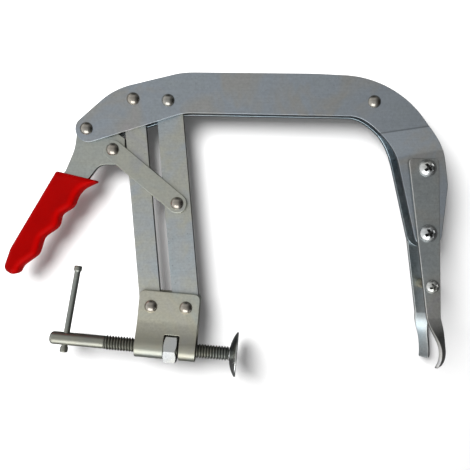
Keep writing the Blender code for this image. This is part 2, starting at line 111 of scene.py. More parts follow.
MIX_A, MIX_B, MIX_OUT = 6, 7, 2  # the colour sockets of a Mix node


# ---------------------------------------------------------------- camera, light and floor

def camera():
    data = bpy.data.cameras.new("camera")
    data.sensor_width = SENSOR
    data.lens = FOCAL * SENSOR
    data.shift_x, data.shift_y = SHIFT_X, SHIFT_Y
    data.clip_start, data.clip_end = 0.01, 10.0
    eye = bpy.data.objects.new("camera", data)
    eye.location = EYE
    bpy.context.scene.collection.objects.link(eye)
    bpy.context.scene.camera = eye


def lamp(name, energy, place, **settings):
    """An area light, aimed at the middle of the piece and hidden from the camera."""
    data = bpy.data.lights.new(name, "AREA")
    data.energy = energy
    for key, value in settings.items():
        setattr(data, key, value)
    thing = bpy.data.objects.new(name, data)
    thing.location = place
    thing.rotation_euler = (Vector(LIT_SPOT) - Vector(place)).to_track_quat("-Z", "Y").to_euler()
    thing.visible_camera = False
    bpy.context.scene.collection.objects.link(thing)
    return thing


def world_ramp(tree, value, stops):
    """A smooth brightness along one axis of the room, its stops given from -1 to 1."""
    half = tree.nodes.new("ShaderNodeMath")
    half.operation = "MULTIPLY_ADD"
    half.inputs[1].default_value = 0.5
    half.inputs[2].default_value = 0.5
    ramp = tree.nodes.new("ShaderNodeValToRGB")
    ramp.color_ramp.interpolation = "EASE"
    elements = ramp.color_ramp.elements
    for position, _ in stops[1:-1]:
        elements.new((position + 1) / 2)
    for element, (_, bright) in zip(elements, stops):
        element.color = (bright, bright, bright, 1.0)
    tree.links.new(value, half.inputs[0])
    tree.links.new(half.outputs[0], ramp.inputs["Fac"])
    return ramp.outputs["Color"]


def studio():
    """A room that is bright towards -X and dark towards +X and +Y, with a lamp and a window.

    The camera sees a pale backdrop in its place, and the floor is not lit by the window.
    """
    scene = bpy.context.scene
    scene.view_settings.view_transform = "Standard"
    world = bpy.data.worlds.new("studio")
    scene.world = world
    world.use_nodes = True
    tree = world.node_tree
    back = tree.nodes["Background"]
    where = tree.nodes.new("ShaderNodeTexCoord")
    split = tree.nodes.new("ShaderNodeSeparateXYZ")
    tree.links.new(where.outputs["Generated"], split.inputs[0])
    up_down = world_ramp(tree, split.outputs["Y"], ROOM_Y)
    across = world_ramp(tree, split.outputs["X"], ROOM_X)
    both = tree.nodes.new("ShaderNodeMix")
    both.data_type, both.blend_type = "RGBA", "MULTIPLY"
    both.inputs["Factor"].default_value = 1.0
    tree.links.new(up_down, both.inputs[MIX_A])
    tree.links.new(across, both.inputs[MIX_B])
    path = tree.nodes.new("ShaderNodeLightPath")
    seen = tree.nodes.new("ShaderNodeMix")
    seen.data_type = "RGBA"
    seen.inputs[MIX_B].default_value = (*BACKDROP, 1.0)
    tree.links.new(path.outputs["Is Camera Ray"], seen.inputs["Factor"])
    tree.links.new(both.outputs[MIX_OUT], seen.inputs[MIX_A])
    tree.links.new(seen.outputs[MIX_OUT], back.inputs["Color"])
    dim = tree.nodes.new("ShaderNodeMapRange")
    dim.inputs["To Min"].default_value = ROOM_BRIGHT
    dim.inputs["To Max"].default_value = ROOM_BRIGHT * ROOM_DIFFUSE
    tree.links.new(path.outputs["Is Diffuse Ray"], dim.inputs["Value"])
    tree.links.new(dim.outputs[0], back.inputs["Strength"])
    key = lamp("key", KEY_POWER, KEY_AT, shape="DISK", size=KEY_SIZE)
    key.visible_glossy = False
    window = lamp("window", WINDOW_POWER, WINDOW_AT, shape="RECTANGLE", size=WINDOW_SIZE[0],
                  size_y=WINDOW_SIZE[1])
    only = bpy.data.collections.new("not_by_the_window")
    only.objects.link(bpy.data.objects["floor"])
    only.collection_objects[0].light_linking.link_state = "EXCLUDE"
    window.light_linking.receiver_collection = only


def floor():
    """A pale floor just under the piece, dim where the metal mirrors it."""
    low = cad_box[0][2] - FLOOR_GAP
    bm = bmesh.new()
    bmesh.ops.create_grid(bm, x_segments=2, y_segments=2, size=FLOOR_REACH)
    mesh = bpy.data.meshes.new("floor")
    bm.to_mesh(mesh)
    bm.free()
    ground = bpy.data.objects.new("floor", mesh)
    ground.location = (0.0, 0.0, low)
    bpy.context.scene.collection.objects.link(ground)
    paint = Look("floor_paint")
    grain = paint.noise(9.0, 2.0)
    pale = paint.ramp(grain, ((0.3, (0.93, 0.93, 0.93)), (0.7, (0.95, 0.95, 0.95))))
    mirrored = paint.node("ShaderNodeLightPath").outputs["Is Glossy Ray"]
    paint.put("Base Color", paint.mix(mirrored, pale, (0.07, 0.07, 0.07)))
    paint.shader.inputs["Roughness"].default_value = 0.9
    mesh.materials.append(paint.mat)


# ---------------------------------------------------------------- materials

class Look:
    """A Principled material with short calls for the nodes that feed it."""

    def __init__(self, name):
        self.mat = bpy.data.materials.new(name)
        self.mat.use_nodes = True
        self.tree = self.mat.node_tree
        self.shader = self.tree.nodes["Principled BSDF"]
        self.where = self.tree.nodes.new("ShaderNodeTexCoord").outputs["Object"]

    def node(self, kind, feeds=(), **settings):
        made = self.tree.nodes.new(kind)
        for key, value in settings.items():
            setattr(made, key, value)
        for socket, value in feeds:
            if isinstance(value, bpy.types.NodeSocket):
                self.tree.links.new(value, made.inputs[socket])
            else:
                made.inputs[socket].default_value = value
        return made

    def noise(self, scale, detail=3.0, rough=0.55, stretch=None, turn=0.0, distortion=0.0):
        spot = self.where
        if stretch:
            spot = self.node("ShaderNodeMapping", (("Vector", spot), ("Scale", stretch),
                             ("Rotation", (0.0, 0.0, turn)))).outputs[0]
        made = self.node("ShaderNodeTexNoise", (("Vector", spot), ("Scale", scale), ("Detail", detail),
                         ("Roughness", rough), ("Distortion", distortion)))
        return made.outputs[0]

    def ramp(self, value, stops):
        made = self.node("ShaderNodeValToRGB", (("Fac", value),))
        elements = made.color_ramp.elements
        elements[0].position, elements[1].position = stops[0][0], stops[-1][0]
        for position, _ in stops[1:-1]:
            elements.new(position)
        for element, (_, colour) in zip(elements, stops):
            element.color = (*colour, 1.0)
        return made.outputs["Color"]

    def span(self, value, low, high, start=0.3, end=0.7):
        made = self.node("ShaderNodeMapRange", (("Value", value), ("From Min", start), ("From Max", end),
                         ("To Min", low), ("To Max", high)))
        return made.outputs[0]

    def math(self, operation, a, b):
        return self.node("ShaderNodeMath", ((0, a), (1, b)), operation=operation).outputs[0]

    def mix(self, factor, a, b):
        made = self.node("ShaderNodeMix", (("Factor", factor),), data_type="RGBA")
        for socket, value in ((MIX_A, a), (MIX_B, b)):
            if isinstance(value, bpy.types.NodeSocket):
                self.tree.links.new(value, made.inputs[socket])
            else:
                made.inputs[socket].default_value = (*value, 1.0)
        return made.outputs[MIX_OUT]

    def mask(self):
        """The piece's own mask, from 0 to 1: the hollows that a look paints with shade, and the rims and
        side that it paints with a highlight.
        """
        return self.node("ShaderNodeAttribute", attribute_name="mask").outputs["Fac"]

    def put(self, socket, value):
        self.tree.links.new(value, self.shader.inputs[socket])

    def bump(self, height, strength, depth):
        made = self.node("ShaderNodeBump", (("Height", height), ("Strength", strength),
                         ("Distance", depth)))
        self.put("Normal", made.outputs["Normal"])


def paint_fold_shade_and_highlight(look, tone):
    """Paint shade along the line where a cheek's sheet is bent, and paint a highlight on the slope below it.
    """
    lean = (-math.sin(JOGGLE_TILT), math.cos(JOGGLE_TILT), 0.0)
    along = look.node("ShaderNodeVectorMath", ((0, look.where), (1, lean)), operation="DOT_PRODUCT")
    start = (JOGGLE_TOP[0] * lean[0] + JOGGLE_TOP[1] * lean[1]) * MM
    place = look.span(along.outputs["Value"], 0.0, 1.0, start - 0.0225, start + 0.0015)
    stops = ((0.14, 0.96), (0.19, 1.12), (0.90, 1.10), (0.925, 0.62), (0.945, 0.62), (0.965, 1.0))
    return look.math("MULTIPLY", tone, look.ramp(place, [(at, (v, v, v)) for at, v in stops]))


def steel(name, base, tints, rough, streak_turn=0.0, mottled=1.0, bump=0.22, streaked=1.0, even=1.0,
          folded=False, picked=None):
    """Zinc-plated steel: cloudy tints, fine mottling, rolling streaks and stray scratches.

    Where a piece's mask is set it takes the picked colour, and is duller: painted shade on the screws and
    the bracket, and a painted highlight along the fingers' rims.
    With folded set, shade and a highlight are painted along a cheek's bend.
    """
    look = Look(name)
    cool, warm, faint = tints
    clouds = look.noise(24.0, 3.0, 0.6, distortion=0.6)
    fine = look.noise(650.0, 4.0, 0.62)
    grain = look.noise(2600.0, 2.0, 0.6)
    streaks = look.noise(1.0, 4.0, 0.6, (28.0, 1500.0, 200.0), streak_turn)
    scratches = look.noise(1.0, 2.0, 0.5, (60.0, 2600.0, 60.0), streak_turn + 0.6)
    hue = look.ramp(clouds, ((0.30, cool), (0.46, base), (0.58, warm), (0.72, faint)))
    tone = look.span(fine, 1.0 - 0.11 * mottled, 1.0 + 0.07 * mottled)
    tone = look.math("MULTIPLY", tone, look.span(streaks, 1.0 - 0.05 * streaked, 1.0 + 0.04 * streaked))
    # A cheek gets painted shade along its bend line and a painted highlight on the slope below it.
    if folded:
        tone = paint_fold_shade_and_highlight(look, tone)
    scaled = look.node("ShaderNodeVectorMath", ((0, hue), ("Scale", tone)), operation="SCALE")
    marks = look.span(scratches, 0.0, 1.0, 0.70, 0.76)
    worn = look.mix(look.math("MULTIPLY", marks, 0.30), scaled.outputs[0], (0.72, 0.73, 0.74))
    look.put("Base Color", worn)
    look.shader.inputs["Metallic"].default_value = 1.0
    gloss = look.math("ADD", look.span(fine, rough - 0.05 * even, rough + 0.07 * even),
                      look.span(clouds, -0.03, 0.04))
    look.put("Roughness", look.math("SUBTRACT", gloss, look.math("MULTIPLY", marks, 0.08)))
    # The picked colour is painted where the piece's mask is set: dark for painted shade, pale for a painted
    # highlight.
    if picked:
        there = look.math("MULTIPLY", look.mask(), look.span(fine, 0.85, 1.0))
        look.put("Base Color", look.mix(there, worn, picked))
        look.put("Roughness", look.math("ADD", gloss, look.math("MULTIPLY", there, 0.3)))
    relief = look.math("ADD", look.math("MULTIPLY", grain, 0.35), look.math("MULTIPLY", streaks, 0.5))
    relief = look.math("ADD", relief, look.math("MULTIPLY", fine, 0.8))
    look.bump(relief, bump, 0.00006)
    return look.mat


def vinyl(name):
    """Dipped vinyl: deep red, with a painted highlight that makes its finger side brighter, a faint orange
    peel and dark specks.
    """
    look = Look(name)
    clouds = look.noise(55.0, 3.0, 0.55)
    peel = look.noise(520.0, 2.0, 0.5)
    dust = look.noise(1900.0, 3.0, 0.6)
    red = look.ramp(clouds, ((0.25, (0.158, 0.0003, 0.0003)), (0.55, (0.176, 0.0004, 0.0003)),
                             (0.80, (0.194, 0.0005, 0.0004))))
    specks = look.span(dust, 0.0, 0.22, 0.66, 0.78)
    # Painted highlight: where the mask marks the finger side, the red is painted brighter.
    under = look.math("MULTIPLY", look.mask(), look.span(clouds, 0.9, 1.0))
    both = look.mix(under, red, (0.40, 0.0010, 0.0008))
    look.put("Base Color", look.mix(specks, both, (0.13, 0.001, 0.001)))
    look.put("Roughness", look.math("ADD", look.span(peel, 0.27, 0.36), look.span(clouds, -0.03, 0.05)))
    look.shader.inputs["Specular IOR Level"].default_value = 0.03
    look.bump(look.math("ADD", peel, look.math("MULTIPLY", dust, 0.25)), 0.16, 0.0001)
    return look.mat


def make_looks():
    """Every look by its short name. A steel has a base colour, then a cool, a warm and a faint tint."""
    # The first colour is painted shade for recesses and hollows; light is a painted highlight for the
    # fingers' rims.
    painted_shade_colour, light = (0.018, 0.017, 0.016), (0.86, 0.86, 0.82)
    return {
        "cheek": steel(
            "zinc_sheet_cheek", (0.44, 0.49, 0.54),
            ((0.44, 0.49, 0.52), (0.47, 0.48, 0.47), (0.50, 0.48, 0.49)),
            0.34, streak_turn=0.3, folded=True),
        # The far cheek and the far finger are the same zinc as the near ones, painted brighter and bluer:
        # painted light on the back pieces.
        "far_cheek_painted_light": steel(
            "zinc_sheet_far_cheek", (0.47, 0.57, 0.62),
            ((0.46, 0.57, 0.64), (0.50, 0.56, 0.58), (0.52, 0.56, 0.60)),
            0.34, streak_turn=0.3, folded=True),
        "arm": steel(
            "zinc_sheet_arm", (0.55, 0.59, 0.60),
            ((0.51, 0.59, 0.63), (0.59, 0.60, 0.53), (0.54, 0.55, 0.56)),
            0.33, streak_turn=1.5),
        "lever": steel(
            "zinc_sheet_lever", (0.52, 0.55, 0.51),
            ((0.49, 0.53, 0.52), (0.55, 0.56, 0.49), (0.48, 0.50, 0.51)),
            0.36, streak_turn=0.9),
        "finger": steel(
            "zinc_plate_fork", (0.38, 0.41, 0.41),
            ((0.34, 0.37, 0.38), (0.38, 0.38, 0.36), (0.36, 0.36, 0.38)),
            0.40, streak_turn=1.5, mottled=1.4, picked=light),
        "far_finger_painted_light": steel(
            "zinc_plate_far_fork_painted_light", (0.44, 0.51, 0.54),
            ((0.42, 0.51, 0.55), (0.45, 0.49, 0.50), (0.46, 0.50, 0.53)),
            0.38, streak_turn=1.5, mottled=1.2, picked=light),
        "bracket": steel(
            "zinc_sheet_bracket", (0.525, 0.555, 0.50),
            ((0.50, 0.55, 0.51), (0.56, 0.55, 0.45), (0.53, 0.53, 0.49)),
            0.33, streak_turn=0.1, picked=painted_shade_colour),
        "bright": steel(
            "bright_zinc_fastener", (0.68, 0.70, 0.70),
            ((0.65, 0.69, 0.71), (0.70, 0.71, 0.67), (0.70, 0.69, 0.70)),
            0.25, mottled=0.3, streaked=0.1, bump=0.01, even=0.3, picked=painted_shade_colour),
        "screw": steel(
            "oiled_zinc_screw", (0.35, 0.37, 0.34),
            ((0.32, 0.35, 0.33), (0.38, 0.38, 0.32), (0.34, 0.35, 0.32)),
            0.36, mottled=0.5, streaked=0.1, bump=0.03, even=0.3, picked=painted_shade_colour),
        "rivet": steel(
            "rivet_steel", (0.41, 0.395, 0.36),
            ((0.38, 0.39, 0.37), (0.44, 0.405, 0.35), (0.39, 0.38, 0.355)),
            0.17, mottled=0.6, streaked=0.1, bump=0.03, even=0.4),
        "brass": steel(
            "yellow_zinc_sleeve", (0.76, 0.66, 0.47),
            ((0.73, 0.66, 0.50), (0.80, 0.67, 0.44), (0.75, 0.63, 0.49)),
            0.32),
        "vinyl": vinyl("red_dipped_vinyl"),
    }


# ---------------------------------------------------------------- mesh helpers

def piece(name, bm, look, body, nodes, tilt=0.0, flat=False, sharp=32.0, mask=None):
    """Make a named piece from a bmesh in millimetres; it rides on a body and stands for CAD nodes.

    A mask gives each vertex the amount, from 0 to 1, of what its look picks out.
    """
    amounts = [mask(v.co) for v in bm.verts] if mask else None
    bmesh.ops.transform(bm, matrix=Matrix.Rotation(tilt, 4, "Z"), verts=bm.verts)
    bmesh.ops.scale(bm, verts=bm.verts, vec=(MM, MM, MM))
    bmesh.ops.recalc_face_normals(bm, faces=bm.faces)
    mesh = bpy.data.meshes.new(name)
    bm.to_mesh(mesh)
    bm.free()
    mesh.shade_smooth()
    mesh.materials.append(LOOKS[look])
    if amounts:
        mesh.attributes.new("mask", "FLOAT", "POINT").data.foreach_set("value", amounts)
    thing = bpy.data.objects.new(name, mesh)
    bpy.context.scene.collection.objects.link(thing)
    if flat:
        even = thing.modifiers.new("even_normals", "WEIGHTED_NORMAL")
        even.weight = 90
    else:
        mesh.set_sharp_from_angle(angle=math.radians(sharp))
    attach(thing, body)
    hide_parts(*nodes)


def add(a, b):
    return (a[0] + b[0], a[1] + b[1])


def rounded(corners, sag=0.012, longest=3.0):
    """Outline of a polygon with filleted corners (x, y, radius), its chords true to sag."""
    points = []
    for i, (x, y, radius) in enumerate(corners):
        here = Vector((x, y))
        if radius == 0:
            points.append((x, y))
            continue
        back = (Vector(corners[i - 1][:2]) - here).normalized()
        ahead = (Vector(corners[(i + 1) % len(corners)][:2]) - here).normalized()
        half = back.angle(ahead) / 2
        reach = radius / math.tan(half)
        centre = here + (back + ahead).normalized() * (radius / math.sin(half))
        start = here + back * reach - centre
        turn = (here + ahead * reach - centre).angle_signed(start)
        step = min(2 * math.acos(max(0.9, 1 - sag / radius)), longest / radius)
        count = max(1, math.ceil(abs(turn) / step))
        for k in range(count + 1):
            arm = Matrix.Rotation(turn * k / count, 2) @ start
            points.append((centre.x + arm.x, centre.y + arm.y))
    return points


def capsule(start, end, radius, count=33):
    """Outline of a bar with round ends."""
    heading = math.atan2(end[1] - start[1], end[0] - start[0])
    points = []
    for centre, facing in ((start, heading + math.pi / 2), (end, heading - math.pi / 2)):
        for k in range(count):
            angle = facing + math.pi * k / (count - 1)
            points.append((centre[0] + radius * math.cos(angle), centre[1] + radius * math.sin(angle)))
    return points


def turned_way(loop, left=True):
    """The loop, wound so that its material is on its left."""
    area = sum(a[0] * b[1] - b[0] * a[1] for a, b in zip(loop, loop[1:] + loop[:1]))
    return loop if (area > 0) == left else loop[::-1]


def inset(loop, gap):
    """A closed outline moved into its material by gap."""
    out = []
    for k, corner in enumerate(loop):
        here = Vector(corner)
        into = (here - Vector(loop[k - 1])).normalized()
        away = (Vector(loop[(k + 1) % len(loop)]) - here).normalized()
        middle = Vector((-into.y - away.y, into.x + away.x)).normalized()
        out.append(here + middle * (gap / max(0.5, middle.dot(Vector((-into.y, into.x))))))
    return out


def slab(outline, low, high, edge=0.4, holes=()):
    """A flat plate whose edges are rounded all round, top and bottom."""
    bm = bmesh.new()
    loops = [turned_way(outline)] + [turned_way(h, left=False) for h in holes]
    quarter = [math.pi / 2 * k / 3 for k in range(4)]
    levels = [(edge * (1 - math.sin(a)), low + edge * (1 - math.cos(a))) for a in quarter]
    levels += [(gap, high + low - z) for gap, z in reversed(levels)]
    caps = ([], [])
    for loop in loops:
        rings = []
        for gap, z in levels:
            rings.append([bm.verts.new((p[0], p[1], z)) for p in inset(loop, gap)])
        for a, b in zip(rings, rings[1:]):
            for k in range(len(a)):
                n = (k + 1) % len(a)
                bm.faces.new((a[k], a[n], b[n], b[k]))
        for cap, ring in zip(caps, (rings[0], rings[-1])):
            cap += [bm.edges.get((ring[k], ring[(k + 1) % len(ring)])) for k in range(len(ring))]
    for cap in caps:
        bmesh.ops.triangle_fill(bm, use_beauty=True, edges=cap)
    return bm


def slice_across(bm, points, normal, only=None):
    """Cut edges into a mesh along planes, so that it can bend there."""
    for point in points:
        faces = [f for f in bm.faces if only is None or only(f.calc_center_median())]
        parts = set(faces) | {e for f in faces for e in f.edges} | {v for f in faces for v in f.verts}
        bmesh.ops.bisect_plane(bm, geom=list(parts), plane_co=point, plane_no=normal, dist=1e-5)


def lathe(profile, count=48):
    """A solid of revolution about Z; the profile (radius, height) starts and ends on it."""
    bm = bmesh.new()
    rings = []
    for radius, height in profile:
        if radius == 0:
            rings.append([bm.verts.new((0.0, 0.0, height))])
        else:
            rings.append([bm.verts.new((radius * math.cos(TAU * k / count),
                                        radius * math.sin(TAU * k / count), height))
                          for k in range(count)])
    skin(bm, rings)
    return bm


def skin(bm, rings):
    """Faces between rings of the same count; a ring of one vertex is a point."""
    for low, high in zip(rings, rings[1:]):
        count = max(len(low), len(high))
        for k in range(count):
            n = (k + 1) % count
            if len(low) == 1:
                bm.faces.new((low[0], high[k], high[n]))
            elif len(high) == 1:
                bm.faces.new((low[k], high[0], low[n]))
            else:
                bm.faces.new((low[k], high[k], high[n], low[n]))


def arc(centre, radius, start, end, steps):
    """Points of an arc (radius, height) between two angles in degrees."""
    angles = [math.radians(start + (end - start) * k / steps) for k in range(steps + 1)]
    return [(centre[0] + radius * math.cos(a), centre[1] + radius * math.sin(a)) for a in angles]


def shifted(bm, centre):
    bmesh.ops.translate(bm, verts=bm.verts, vec=(*centre, 0.0))
    return bm


def laid(bm):
    """Lay a solid made about Z along the spindle's axis."""
    bmesh.ops.transform(bm, matrix=Matrix.Rotation(math.pi / 2, 4, "Y"), verts=bm.verts)
    return bm


# ---------------------------------------------------------------- frame

def cheek_outline():
    nose, nose_r = (-103.8, 159.3), 9.3
    leg_end, leg_r = (132.1, 86.1), 9.7
    bottom = [(leg_end[0] + leg_r * math.cos(a), leg_end[1] + leg_r * math.sin(a), 0)
              for a in (math.radians(-8 - 164 * k / 30) for k in range(31))]
    left = [(nose[0] + nose_r * math.cos(a), nose[1] + nose_r * math.sin(a), 0)
            for a in (math.radians(286 - 144 * k / 24) for k in range(25))]
    inner = [(107.7, 153.6, 49), (84.8, 168.0, 22), (-38.0, 170.3, 40), (-56.0, 164.3, 60)]
    outer = [(-86.0, 187.2, 50), (-37.5, 198.9, 60), (53.8, 197.9, 269), (110.8, 195.0, 72),
             (142.5, 150.1, 60), (145.9, 119.7, 25)]
    return [*bottom, *inner, *left, *outer]


def bent(reach, soft=1.5):
    """Height of the joggle at a reach past its upper bend line, its bends rounded by soft."""
    def knee(t):
        return 0.0 if t < -soft else t if t > soft else (t + soft) ** 2 / (4 * soft)
    return JOGGLE * (knee(reach) - knee(reach - JOGGLE_RUN)) / JOGGLE_RUN


def cheek(name, side, node):
    bm = slab(rounded(cheek_outline()), CHEEK_IN, CHEEK_OUT, 0.45)
    down = Vector((math.sin(JOGGLE_TILT), -math.cos(JOGGLE_TILT), 0.0))
    start = Vector((*JOGGLE_TOP, 0.0))
    cuts = [bend + k * 0.5 for bend in (0.0, JOGGLE_RUN) for k in range(-3, 4)]
    slice_across(bm, [start + down * reach for reach in cuts], down, lambda c: c.x > JOGGLE_LEFT)
    for vert in bm.verts:
        lift = bent((vert.co - start).dot(down)) if vert.co.x > JOGGLE_LEFT else 0.0
        vert.co.z = side * (vert.co.z + lift)
    look = "cheek" if side > 0 else "far_cheek_painted_light"
    piece(name, bm, look, "frame", [node], flat=True)


def head_profile(seat, shank):
    """Half a domed rivet, from its shank at height zero to its crown."""
    under, crown = seat + 0.05, seat + 0.3 + RIVET_HEAD_HIGH
    high = crown - under
    ball = (RIVET_HEAD_R ** 2 + (high - 0.35) ** 2) / (2 * (high - 0.35))
    top = math.degrees(math.asin(RIVET_HEAD_R / ball))
    dome = arc((0.0, crown - ball), ball, 90 - top, 90, 12)
    return [(shank, 0.0), (shank, under), (RIVET_HEAD_R - 0.12, under), (RIVET_HEAD_R, under + 0.12),
            *dome[:-1], (0.0, crown)]


def rivet(name, centre, seat, body, node, shank=2.5):
    half = head_profile(seat, shank)
    whole = [(r, -h) for r, h in reversed(half[1:])] + half[1:]
    piece(name, shifted(lathe(whole), centre), "rivet", body, [node])


def finger_ring(x, y, z, width, thick, twist, corner=0.7):
    """A rounded rectangle across the finger at height y."""
    ring = []
    for sx, sz, first in ((1, 1, 0), (-1, 1, 90), (-1, -1, 180), (1, -1, 270)):
        for r, h in arc((sx * (width / 2 - corner), sz * (thick / 2 - corner)), corner,
                        first, first + 90, 3):
            flat = Matrix.Rotation(-twist, 2) @ Vector((r, h))
            ring.append(Vector((x + flat.x, y, z + flat.y)))
    return ring


def bezier(part, a, b, c, d):
    rest = 1 - part
    return a * rest ** 3 + 3 * b * part * rest ** 2 + 3 * c * part ** 2 * rest + d * part ** 3


def finger_rings():
    """Rings of one finger: its rounded top, its straight taper, then its swept and twisted tip."""
    top, bend, tip, corner = 137.5, 28.0, -5.2, 2.8
    left_top, left_bend, right_top, right_bend = 118.0, 130.2, 138.8, 139.9
    tip_wide, twist = 7.8, math.radians(50)
    rings = []
    for k in range(9):
        part = 1 - math.cos(math.pi / 2 * k / 8)
        trim = corner * (1 - math.sin(math.acos(max(0.0, 1 - part)))) if k else corner
        thick = FINGER_THICK - (0.7 * (1 - min(1.0, k / 3)))
        rings.append(finger_ring((left_top + right_top) / 2, top - corner * part, FINGER_MID,
                                 right_top - left_top - 2 * trim, thick, 0.0))
    for k in range(1, 23):
        part = k / 22
        left = left_top + (left_bend - left_top) * part
        right = right_top + (right_bend - right_top) * part
        rings.append(finger_ring((left + right) / 2, top - corner + (bend - top + corner) * part,
                                 FINGER_MID, right - left, FINGER_THICK, 0.0))
    neck = right_bend - left_bend
    for k in range(1, 45):
        part = k / 44
        ease = min(1.0, part / 0.6)
        ease = ease * ease * (3 - 2 * ease)
        x = bezier(part, (left_bend + right_bend) / 2, 136.0, 141.6, 137.4)
        z = FINGER_MID + bezier(part, 0.0, 6.0, 9.1, 1.5)
        end = max(0.0, (part - 0.985) / 0.015)
        rings.append(finger_ring(x, bend + (tip - bend) * part, z,
                                 neck + (tip_wide - neck) * ease - 0.5 * end,
                                 FINGER_THICK - 0.5 * end, twist * ease))
    return rings


def finger(name, side, node):
    bm = bmesh.new()
    rings = [[bm.verts.new((p.x, p.y, side * p.z)) for p in ring] for ring in finger_rings()]
    skin(bm, rings)
    bm.faces.new(rings[0])
    bm.faces.new(rings[-1])
    # Each corner of a ring has four points, and the middle two get a painted highlight along its rim.
    rims = {v.co.to_tuple(4): (0.0, 0.5, 0.5, 0.0)[k % 4] for ring in rings for k, v in enumerate(ring)}
    piece(name, bm, "finger" if side > 0 else "far_finger_painted_light", "frame", [node], flat=True,
          mask=lambda spot: rims[spot.to_tuple(4)])


def cross_depth(x, y, turn, size):
    """Depth of a cross recess at a point of a screw's head."""
    a = abs(x * math.cos(turn) + y * math.sin(turn))
    b = abs(-x * math.sin(turn) + y * math.cos(turn))
    wings = [min(5.0 * (0.155 * size - q), 1.5 * (0.55 * size - p)) for p, q in ((a, b), (b, a))]
    hub = 2.6 * (0.27 * size - math.hypot(a, b))
    return min(0.44 * size, max(0.0, hub, *wings))


def domed_screw(name, centre, face, radius, high, shank, turn, node, side=1, size=None, tail=6.6,
                painted_recess_shade=0.92):
    """A screw with a low dome and a cross recess of a given size, its head on height face."""
    size = size or radius
    steps, around = 44, 96
    angles = [TAU * n / around for n in range(around)]
    bm = bmesh.new()
    under, crown = face + 0.05, face + high
    ball = (radius ** 2 + (high - 0.5) ** 2) / (2 * (high - 0.5))
    rings = [[bm.verts.new((0.0, 0.0, crown - cross_depth(0, 0, turn, size)))]]
    for k in range(1, steps + 1):
        r = radius * k / steps
        ring = []
        for a in angles:
            x, y = r * math.cos(a), r * math.sin(a)
            z = crown - ball + math.sqrt(max(0.0, ball ** 2 - r ** 2))
            ring.append(bm.verts.new((x, y, z - cross_depth(x, y, turn, size))))
        rings.append(ring)
    for r, z in ((radius, under + 0.15), (radius - 0.15, under), (shank, under), (shank, tail)):
        rings.append([bm.verts.new((r * math.cos(a), r * math.sin(a), z)) for a in angles])
    skin(bm, rings)
    bm.faces.new(rings[-1])
    for vert in bm.verts:
        vert.co.z *= side

    # Painted shade: the cross recess is painted dark, darker where it is deeper.
    def painted_shade_at(spot):
        x, y = spot.x - centre[0], spot.y - centre[1]
        inside = spot.z * side > face and math.hypot(x, y) < radius * 0.7
        return painted_recess_shade * min(1.0, cross_depth(x, y, turn, size) / (0.22 * size)) if inside else 0.0

    piece(name, shifted(bm, centre), "bright", "frame", [node], sharp=40, mask=painted_shade_at)


def hex_nut(flat, low, high, bore):
    """A hexagon nut about Z with chamfered corners and a bore."""
    bm = bmesh.new()
    count = 96
    face_r = flat / 2
    rings = []

    def ring(size, height):
        rings.append([bm.verts.new((size(a) * math.cos(a), size(a) * math.sin(a), height(a)))
                      for a in (TAU * k / count for k in range(count))])

    def hexagon(a):
        local = (a + math.pi / 6) % (math.pi / 3) - math.pi / 6
        return face_r / math.cos(math.pi / 6 - abs(local))

    def drop(a):
        return (hexagon(a) - face_r) * math.tan(math.radians(30))

    ring(lambda a: bore, lambda a: low + 0.4)
    ring(lambda a: bore + 0.4, lambda a: low)
    ring(lambda a: face_r - 0.1, lambda a: low)
    ring(hexagon, lambda a: low + drop(a) + 0.1)
    ring(hexagon, lambda a: high - drop(a) - 0.1)
    ring(lambda a: face_r - 0.1, lambda a: high)
    ring(lambda a: bore + 0.4, lambda a: high)
    ring(lambda a: bore, lambda a: high - 0.4)
    rings.append(rings[0])
    skin(bm, rings)
    return bm


def sleeve(name, centre, inner, outer, low, high, look, node):
    profile = [(inner, low), (outer - 0.15, low), (outer, low + 0.15), (outer, high - 0.15),
               (outer - 0.15, high), (inner, high), (inner, low)]
    bm = lathe(profile)
    bmesh.ops.remove_doubles(bm, verts=bm.verts, dist=1e-6)
    piece(name, shifted(bm, centre), look, "frame", [node])


def build_frame():
    cheek("front_cheek", 1, "frame_plate_front")
    cheek("back_cheek", -1, "frame_plate_back")
    sleeve("cheek_spacer", SPACER_AT, 2.8, 5.0, -2.0, 2.0, "cheek", "frame_spacer")
    rivet("cheek_rivet", SPACER_AT, CHEEK_OUT, "frame", "frame_rivet")
    rivet("lever_pivot", HANDLE_PIVOT, CHEEK_OUT, "frame", "handle_pivot_rivet")
    rivet("left_arm_pivot", ARM_TOP_LEFT, CHEEK_OUT, "frame", "arm_pivot_rivet_left")
    rivet("right_arm_pivot", ARM_TOP_RIGHT, CHEEK_OUT, "frame", "arm_pivot_rivet_right")
    finger("front_finger", 1, "fork_finger_front")
    finger("back_finger", -1, "fork_finger_back")
    face = FINGER_IN + FINGER_THICK
    turns = {"upper": math.radians(38), "lower": math.radians(25)}
    for where, centre in zip(("upper", "lower"), FORK_SCREWS):
        for facing, side in (("front", 1), ("back", -1)):
            domed_screw(f"{facing}_{where}_screw", centre, face, 6.2, 4.2, 3.0, turns[where],
                        f"fork_screw_{facing}_{where}", side)
    domed_screw("cross_bolt", CROSS_BOLT, face, 4.8, 3.4, 2.2, math.radians(20), "fork_cross_bolt",
                size=5.2, tail=-face - 5.2, painted_recess_shade=0.55)
    sleeve("finger_spacer", CROSS_BOLT, 2.5, 3.3, -FINGER_IN + 0.3, FINGER_IN - 0.3, "brass",
           "fork_spacer_sleeve")
    nut = hex_nut(7.97, -face - 4.2, -face - 0.3, 2.3)
    piece("cross_nut", shifted(nut, CROSS_BOLT), "bright", "frame", ["fork_cross_nut"],
          sharp=25)


# ---------------------------------------------------------------- lever, links and arms

